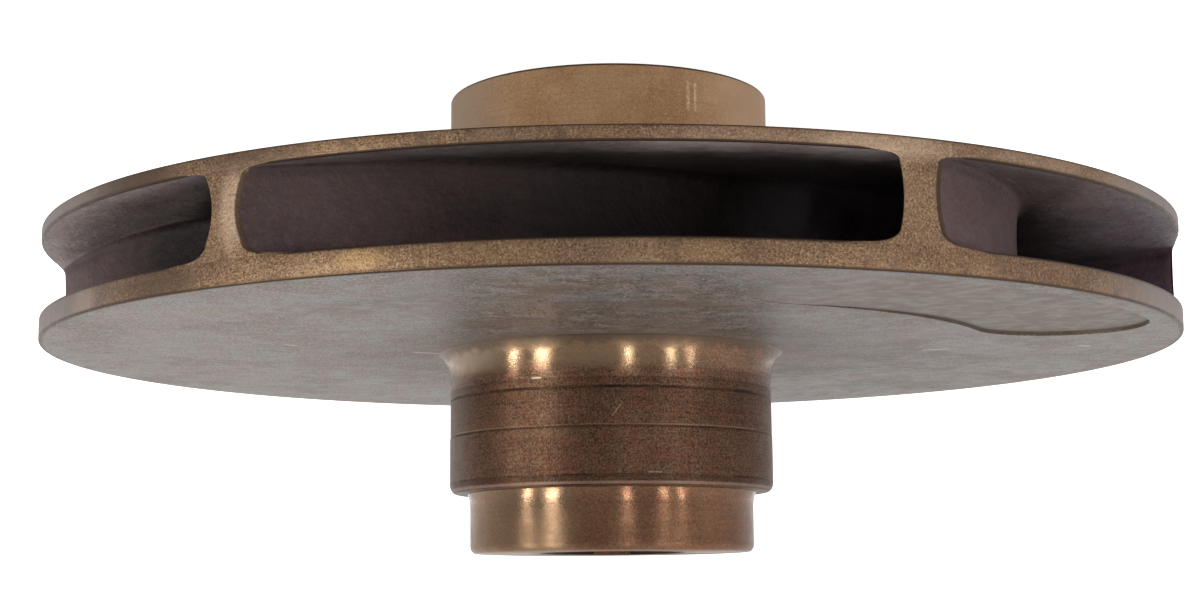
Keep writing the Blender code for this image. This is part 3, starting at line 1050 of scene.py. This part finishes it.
def height_above_floor(f):
    """Height above the front shroud's water side, taken as a straight cone."""
    start, low = FLOOR_START / MM, FLOOR_LOW / MM
    slope = (FRONT_RIM_HIGH / MM - low) / (RIM_RADIUS / MM - start)
    return f.minus(f.z, f.plus(f.times(f.minus(f.radius, start), slope), low))


def passage_shade(f, stains, above, up):
    """How light the passages are, all as painted light and shade. Painted shade darkens them away from
    the rim along an edge that the stains make uneven, each side, left and right as seen, has its own
    painted falloff, and painted shade darkens the crease where a vane meets the floor."""
    rim = RIM_RADIUS / MM
    right = f.ramp(f.x, *RIGHT_SIDE, 1.0, 0.0)
    left = f.ramp(f.x, *LEFT_SIDE)
    middle = f.times(f.ramp(f.x, 8.0, -8.0), f.minus(1.0, right))
    edge = f.plus(f.radius, f.ramp(stains, 0.3, 0.7, -1.5, 1.5))
    edge = f.plus(edge, f.times(right, SIDE_REACH))
    inner = f.plus(edge, f.times(left, SIDE_REACH))

    pale = f.ramp(inner, rim - 13.0, rim - 5.0, 0.22, 1.0)
    pale = f.plus(pale, f.ramp(edge, rim - 9.0, rim - 2.0, 0.0, 0.9))
    sides = f.plus(f.times(left, 1.5), 1.0)
    on_floor = f.times(pale, f.plus(sides, f.times(middle, 1.5)))

    on_vane = f.times(
        f.ramp(edge, rim - 20.0, rim - 4.0, 0.15, 0.46),
        f.ramp(f.x, *RIGHT_SIDE, 1.7, 1.0),
        f.ramp(f.x, 62.0, 78.0, 1.0, 1.7),
        f.ramp(f.x, -66.0, -61.0, 4.0, 1.0),
    )
    on_vane = f.plus(on_vane, f.ramp(f.z, BACK_LOW / MM - 0.4, BACK_LOW / MM - 0.1, 0.0, 2.2))
    # Painted shade in the crease where a vane meets the floor.
    crease = f.math("ABSOLUTE", f.minus(above, CREASE_HEIGHT))
    on_vane = f.times(on_vane, f.ramp(crease, 0.1, 1.1, 0.78, 1.0))
    return f.plus(f.times(on_vane, up), f.times(on_floor, f.minus(1.0, up)))


def passage_finish():
    """Water sides and vanes: rough as cast and stained, with painted light and shade: pale on the
    front shroud, painted shade up the vanes and away from the rim, and painted light that makes the
    passages a paler grey deep inside."""
    f = Finish("passage_bronze", 0.58, 0.5)
    grain = f.noise(1.4, 5.0, 0.7)
    stains = f.noise(0.3, 4.0, 0.6)
    f.ground(f.noise(0.10), 0.3, 0.7, (0.105, 0.066, 0.064), (0.150, 0.104, 0.102))
    f.stain(grain, 0.45, 0.72, 0.6, (0.21, 0.158, 0.155))
    f.stain(stains, 0.5, 0.7, 0.5, (0.145, 0.082, 0.072))
    above = height_above_floor(f)
    up = f.ramp(above, -0.15, 0.25)
    f.color = f.mix(up, f.filtered(FLOOR_HUE), f.filtered(VANE_HUE))
    f.shade(passage_shade(f, stains, above, up))
    f.tint(f.filtered(FAR_VANE_HUE), up, f.ramp(f.x, -64.0, -74.0))
    # Painted light: a paler grey deep in the passages, lifting their shade.
    scale = f.times(f.ramp(f.radius, 46.0, 62.0, 0.9, 0.0), f.ramp(f.radius, 27.0, 37.0, 0.12, 1.0))
    f.tint((0.54, 0.46, 0.52), scale)
    roughness = f.ramp(grain, 0.3, 0.7, 0.48, 0.68)
    return f.surface(roughness, (f.noise(0.6, 5.0, 0.6), 0.30), (grain, 0.12))


def face_finish():
    """The back shroud's face: faced off and tarnished to a mottled grey, browner in the balance cut,
    round the hub and in a few stains, and lighter towards both sides as painted light."""
    f = Finish("tarnished_face", 0.42, 0.45)
    rim = RIM_RADIUS / MM
    clouds = f.noise(0.07, 4.0, 0.6)
    blues = f.noise(0.09, 4.0, 0.6, f.vector("ADD", f.place, BLUES_SHIFT))
    mottle = f.noise(0.38, 5.0, 0.65)
    grain = f.noise(2.4, 4.0, 0.75)
    f.ground(f.noise(0.05), 0.35, 0.65, (0.160, 0.126, 0.108), (0.215, 0.184, 0.170))
    f.stain(clouds, 0.49, 0.55, 0.85, (0.115, 0.082, 0.060))
    f.stain(blues, 0.50, 0.60, 0.85, (0.18, 0.19, 0.192))
    f.stain(mottle, 0.51, 0.62, 0.75, (0.29, 0.20, 0.185))
    f.stain(mottle, 0.47, 0.36, 0.7, (0.105, 0.098, 0.082))
    f.stain(grain, 0.50, 0.62, 0.75, (0.43, 0.38, 0.345))
    f.stain(grain, 0.50, 0.38, 0.75, (0.07, 0.055, 0.047))
    # Painted light: lighter towards both sides, along an uneven edge.
    drift = f.plus(f.x, f.ramp(clouds, 0.3, 0.7, -22.0, 22.0))
    f.shade(f.times(f.ramp(drift, 0.0, 50.0, 0.90, 1.20), f.ramp(drift, -35.0, -65.0, 1.0, 1.15)))
    for radius, angle, length, width, share in FACE_STAINS:
        stain = f.arc_patch(radius, angle, length, width)
        f.tint((0.15, 0.105, 0.076), stain, f.ramp(mottle, 0.35, 0.6, 0.5, 1.0), share)
    near_hub = f.ramp(f.radius, 27.0, 35.0, 0.5, 0.0)
    f.tint((0.27, 0.205, 0.155), near_hub, f.ramp(mottle, 0.3, 0.6, 0.7, 1.0))
    sunk = f.ramp(f.z, BACK_FACE / MM - 0.06, BACK_FACE / MM - 0.004, 0.75, 0.0)
    f.tint((0.145, 0.105, 0.077), sunk)
    for start, end in FACE_NICKS:
        f.tint((0.75, 0.69, 0.64), f.scratch_and_glint_line(start, end, 0.12, 0.4), 0.7)
    f.stain(f.radius, rim - 0.9, rim - 0.2, 0.8, (0.10, 0.064, 0.042))
    roughness = f.plus(f.ramp(grain, 0.3, 0.7, 0.16, 0.30), f.ramp(mottle, 0.35, 0.65, 0.14, 0.30))
    roughness = f.plus(roughness, f.ramp(f.radius, 30.0, 55.0, 0.09, 0.0))
    return f.surface(roughness, (grain, 0.04), (mottle, 0.07))


def hub_finish():
    """The turned hub: dark brown bronze, the darkness painted shade for the dark room that it mirrors,
    glossier on its foot and on the spigot, with painted sheen, painted reflections, painted
    highlights, painted shade, painted glints, dark tool lines and a black mouth to the bore painted as
    shade."""
    f = Finish("turned_bronze", 0.3, 1.0)
    blotch = f.noise(0.5, 4.0, 0.65)
    grain = f.noise(3.8, 3.0, 0.7)
    marks = f.streaks(4.5, 2.0)
    wear = f.streaks(1.1, 3.0)
    # The dark brown ground is painted shade for the dark room that the turned metal mirrors.
    f.ground(f.noise(0.12), 0.35, 0.65, (0.195, 0.106, 0.074), (0.285, 0.158, 0.102))
    f.stain(blotch, 0.48, 0.60, 0.75, (0.34, 0.145, 0.092))
    f.stain(wear, 0.5, 0.72, 0.5, (0.10, 0.06, 0.044))
    f.stain(marks, 0.45, 0.7, 0.5, (0.11, 0.064, 0.046))
    f.stain(grain, 0.50, 0.64, 0.65, (0.42, 0.275, 0.18))
    f.stain(grain, 0.50, 0.36, 0.75, (0.06, 0.034, 0.024))
    # Painted reflection greys the hub's left side.
    f.stain(f.x, 19.0, 25.0, 0.5, (0.38, 0.31, 0.265))

    # Painted sheen: golden brown on the flare's foot, weaker on the right.
    foot = f.times(f.ramp(f.z, 45.0, 47.3, 0.6, 0.0), f.ramp(f.x, -20.0, -8.0, 0.2, 1.0))
    f.tint((0.36, 0.245, 0.145), foot)
    # Painted reflection: paler grey on the flare's left end.
    flare_left_reflection = f.times(f.ramp(f.x, 15.0, 20.0), f.ramp(f.z, 44.0, 46.5, 0.75, 0.0))
    f.tint((0.44, 0.34, 0.26), flare_left_reflection)
    root = f.plus(f.z, f.ramp(blotch, 0.3, 0.7, -0.5, 0.5))
    f.tint((0.17, 0.125, 0.092), f.ramp(root, 41.8, 43.2, 0.8, 0.0))

    # Painted shade, then a painted highlight, on the shoulder's rounded edge.
    f.tint((0.07, 0.042, 0.03), f.band(f.z, 62.8, 0.3, 0.12), 0.45)
    f.tint((0.42, 0.29, 0.22), f.band(f.z, 63.42, 0.12, 0.12), 0.7)
    # Dark tool lines, and painted shade lines at the ledge and the shoulder's foot.
    for height, width, share in HUB_DARK_LINES:
        line = f.times(f.band(f.z, height, width / 2, width / 2), share)
        f.tint((0.03, 0.018, 0.012), line, f.ramp(wear, 0.3, 0.55, 1.0, 0.4))

    spigot = f.ramp(f.z, 63.85, 63.95)
    f.tint((0.31, 0.15, 0.08), spigot, 0.4)
    # Painted highlight tint: the spigot paler on its left, where its highlights fall.
    f.tint((0.40, 0.30, 0.19), spigot, f.ramp(f.x, 3.0, 9.0, 0.0, 0.35))
    # Painted glints along two turned lines.
    for start, end, half, soft, share in HUB_GLINTS:
        f.tint((0.95, 0.80, 0.58), f.scratch_and_glint_line(start, end, half, soft), share)
    # Painted highlight along the ledge.
    ledge = f.times(f.band(f.z, 54.84, 0.05, 0.1), f.ramp(wear, 0.3, 0.6, 0.45, 0.15))
    f.tint((0.70, 0.48, 0.31), ledge)
    for start, end in HUB_SCRATCHES:
        f.tint((0.75, 0.55, 0.40), f.scratch_and_glint_line(start, end, 0.03, 0.16), 0.5)
    # Painted shade: the hub darker on its right side.
    f.shade(f.ramp(f.x, -22.0, -13.0, 0.84, 1.0))
    # Painted shade: the end face black round the bore's mouth.
    f.tint((0.015, 0.010, 0.008), f.ramp(f.radius, *BORE_MOUTH, 0.95, 0.0))

    f.brushed_round(0.9)
    dull = f.ramp(f.z, 46.0, 48.5, 0.20, 0.56)
    bright = f.times(spigot, f.ramp(f.z, 64.5, 71.0, 0.35, 0.17))
    rubbed = f.ramp(blotch, 0.35, 0.65, -0.03, 0.06)
    rough_root = f.ramp(root, 42.4, 43.8, 0.25, 0.0)
    roughness = f.plus(f.minus(dull, bright), f.plus(rubbed, rough_root))
    return f.surface(roughness, (grain, 0.006), (marks, 0.012), (wear, 0.02))


def make_finishes():
    return {
        "skimmed": skimmed_finish(),
        "cast": cast_finish(),
        "ring": ring_finish(),
        "passage": passage_finish(),
        "face": face_finish(),
        "hub": hub_finish(),
    }


def make_camera():
    camera = bpy.data.cameras.new("photo_camera")
    camera.lens = CAMERA_LENS
    camera.sensor_width = CAMERA_SENSOR
    camera.sensor_fit = "HORIZONTAL"
    camera.clip_start = 0.01
    obj = add_object("photo_camera", camera)
    aim = Matrix.Rotation(CAMERA_YAW, 4, "Z")
    aim @= Matrix.Rotation(math.pi / 2 - CAMERA_PITCH, 4, "X")
    aim @= Matrix.Rotation(math.pi + CAMERA_ROLL, 4, "Z")
    obj.matrix_world = Matrix.Translation(CAMERA_PLACE) @ aim
    bpy.context.scene.camera = obj


def make_floor():
    """The white ground that the part stands on. Its own glow keeps it even."""
    mesh = bpy.data.meshes.new("floor")
    corners = [(-1, -1), (1, -1), (1, 1), (-1, 1)]
    mesh.from_pydata([(x * FLOOR_REACH, y * FLOOR_REACH, 0.0) for x, y in corners], [], [(0, 1, 2, 3)])
    floor = add_object("floor", mesh)
    floor.location.z = -FLOOR_DROP
    material = bpy.data.materials.new("floor_white")
    material.use_nodes = True
    shader = material.node_tree.nodes["Principled BSDF"]
    set_inputs(shader, ("Base Color", "Roughness"), (0.9, 0.9, 0.9, 1.0), 0.9)
    set_inputs(shader, ("Emission Color", "Emission Strength"), (1.0, 1.0, 1.0, 1.0), FLOOR_GLOW)
    mesh.materials.append(material)
    floor.visible_glossy = False


def make_world():
    """A plain studio: a soft pale dome, brighter behind the part, with a white line at the horizon."""
    world = bpy.data.worlds.new("studio")
    bpy.context.scene.world = world
    world.use_nodes = True
    nodes = world.node_tree.nodes
    link = world.node_tree.links.new
    background = nodes["Background"]
    way = nodes.new("ShaderNodeTexCoord").outputs["Generated"]
    parts = nodes.new("ShaderNodeSeparateXYZ")
    link(way, parts.inputs[0])
    height = nodes.new("ShaderNodeMapRange")
    set_inputs(height, MAP_BOUNDS, -1.0, 1.0, 0.0, 1.0)
    link(parts.outputs["Z"], height.inputs["Value"])
    shade = nodes.new("ShaderNodeValToRGB")
    link(height.outputs[0], shade.inputs["Fac"])
    stops = shade.color_ramp.elements
    stops.remove(stops[1])
    for number, (place, level) in enumerate(DOME_LEVELS):
        stop = stops[0] if number == 0 else stops.new((place + 1) / 2)
        stop.position = (place + 1) / 2
        stop.color = (*(level * part for part in DOME_TINT), 1.0)
    link(shade.outputs[0], background.inputs["Color"])
    toward = nodes.new("ShaderNodeVectorMath")
    toward.operation = "DOT_PRODUCT"
    toward.inputs[1].default_value = BRIGHT_SIDE
    link(way, toward.inputs[0])
    depth = nodes.new("ShaderNodeMapRange")
    depth.interpolation_type = "SMOOTHSTEP"
    set_inputs(depth, MAP_BOUNDS, *DOME_STRENGTH)
    link(toward.outputs["Value"], depth.inputs["Value"])
    link(depth.outputs[0], background.inputs["Strength"])


def make_window(name, azimuth, width, strength):
    """A tall soft box aimed at the hub. azimuth is measured from the camera's side, plus to the
    photograph's right."""
    light = bpy.data.lights.new(name, "AREA")
    light.shape = "RECTANGLE"
    light.size = width
    light.size_y = WINDOW_HEIGHT
    light.energy = strength
    light.color = WINDOW_TINT
    obj = add_object(name, light)
    side = math.radians(azimuth)
    up = math.radians(WINDOW_ELEVATION)
    away = Vector((-math.sin(side) * math.cos(up), -math.cos(side) * math.cos(up), math.sin(up)))
    obj.location = Vector(WINDOW_TARGET) + away * WINDOW_DISTANCE
    obj.rotation_mode = "QUATERNION"
    obj.rotation_quaternion = away.to_track_quat("Z", "Y")


def dress(piece, slot, *nodes):
    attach(piece, BODY)
    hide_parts(*nodes)


def main():
    bpy.context.scene.view_settings.view_transform = "Standard"
    make_camera()
    make_floor()
    make_world()
    for window in WINDOWS:
        make_window(*window)
    finishes = make_finishes()
    dress(make_suction_ring(finishes), "cast_bronze", "suction_ring")
    dress(make_front_shroud(finishes), "cast_bronze", "front_shroud")
    vane_nodes = [f"vane_{number}" for number in range(1, len(VANE_TIPS) + 1)]
    dress(make_vanes(finishes), "passage_bronze", *vane_nodes)
    dress(make_back_shroud(finishes), "tarnished_bronze", "back_shroud")
    dress(make_nose(finishes), "passage_bronze", "hub_nose")
    dress(make_hub(finishes), "turned_bronze", "hub", "hub_spigot")


main()
